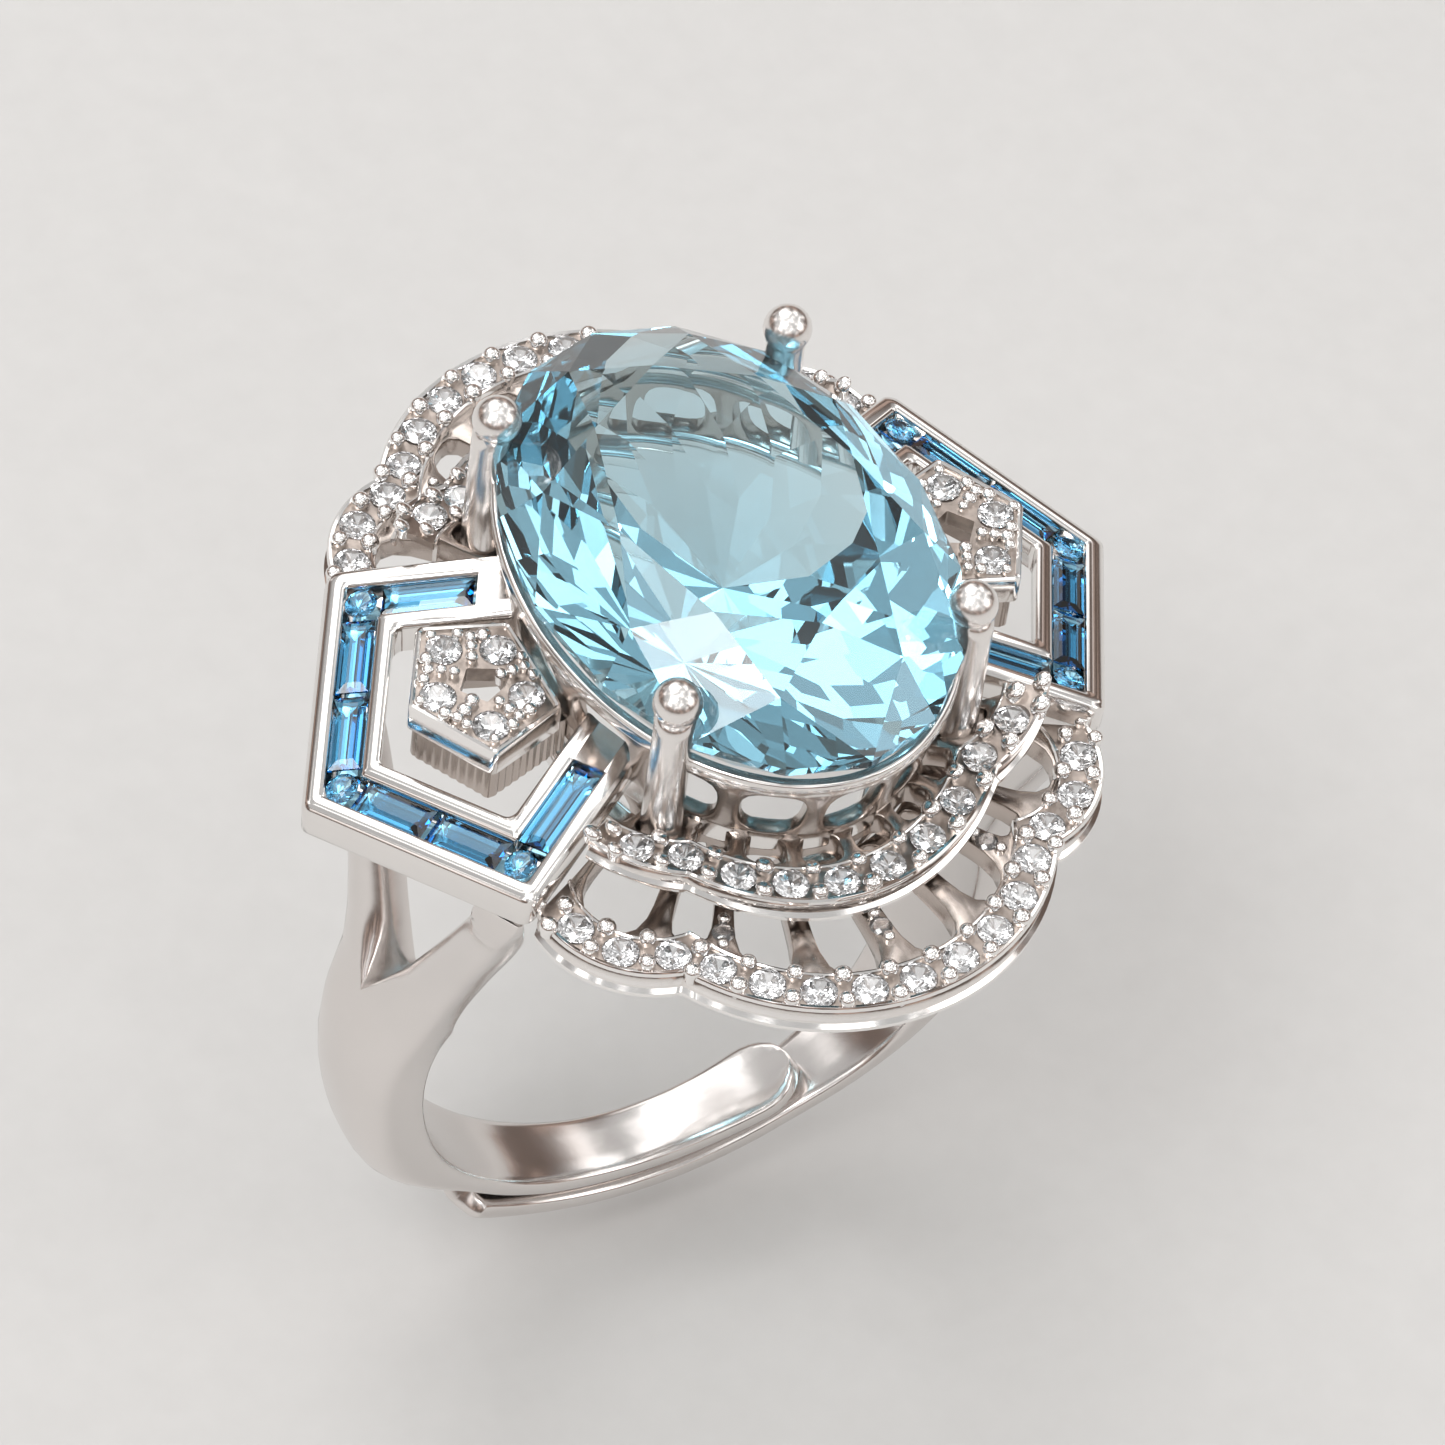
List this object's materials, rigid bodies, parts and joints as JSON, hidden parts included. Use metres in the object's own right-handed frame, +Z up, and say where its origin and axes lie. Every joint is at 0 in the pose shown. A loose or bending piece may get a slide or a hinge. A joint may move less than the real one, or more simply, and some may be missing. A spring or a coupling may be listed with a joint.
{
  "type": "cocktail ring",
  "caption": "Adjustable cocktail ring with a large oval stone in an open gallery, pentagon channel-set wings, scalloped pave halos and a split overlapping band.",
  "frame": {"origin": "centre of the finger hole", "axes": "+Z up through the centre stone, +Y along the finger, +X through the right wing"},
  "size_m": [0.024, 0.0244, 0.0291],
  "materials": {
    "silver": "bright polished rhodium-plated silver",
    "sky_blue_stone": "faceted, polished",
    "teal_stone": "faceted, polished",
    "white_stone": "faceted, polished"
  },
  "bodies": {
    "head": {"shoulder_fork_left": "silver", "shoulder_fork_right": "silver", "wing_frame_left": "silver", "wing_frame_right": "silver", "wing_baguettes_left": "teal_stone", "wing_baguettes_right": "teal_stone", "wing_round_stones_left": "teal_stone", "wing_round_stones_right": "teal_stone", "pave_plate_left": "silver", "pave_plate_right": "silver", "pave_stones_left": "white_stone", "pave_stones_right": "white_stone", "pave_skirt_left": "silver", "pave_skirt_right": "silver", "inner_halo_front": "silver", "inner_halo_back": "silver", "inner_halo_stones_front": "white_stone", "inner_halo_stones_back": "white_stone", "outer_halo_front": "silver", "outer_halo_back": "silver", "outer_halo_stones_front": "white_stone", "outer_halo_stones_back": "white_stone", "halo_ribs_front": "silver", "halo_ribs_back": "silver", "halo_struts_front": "silver", "halo_struts_back": "silver", "strut_stones_front": "white_stone", "strut_stones_back": "white_stone", "seat_ring": "silver", "gallery_posts": "silver", "gallery_band": "silver", "base_rail": "silver", "prong_front_left": "silver", "prong_front_right": "silver", "prong_back_left": "silver", "prong_back_right": "silver", "centre_stone": "sky_blue_stone"},
    "outer_arm": {"shank_arm_right": "silver"},
    "inner_arm": {"shank_arm_left": "silver"}
  },
  "joints": [
    {"name": "outer_arm_flex", "type": "hinge", "parent": "head", "child": "outer_arm", "pos_m": [0.0095, 0, 0], "axis": [0, -1, 0], "range_deg": [0, 8]},
    {"name": "inner_arm_flex", "type": "hinge", "parent": "head", "child": "inner_arm", "pos_m": [-0.0095, 0, 0], "axis": [0, 1, 0], "range_deg": [0, 8]}
  ],
  "couplings": [
    {"joint": "inner_arm_flex", "follows": "outer_arm_flex", "ratio": 1}
  ]
}
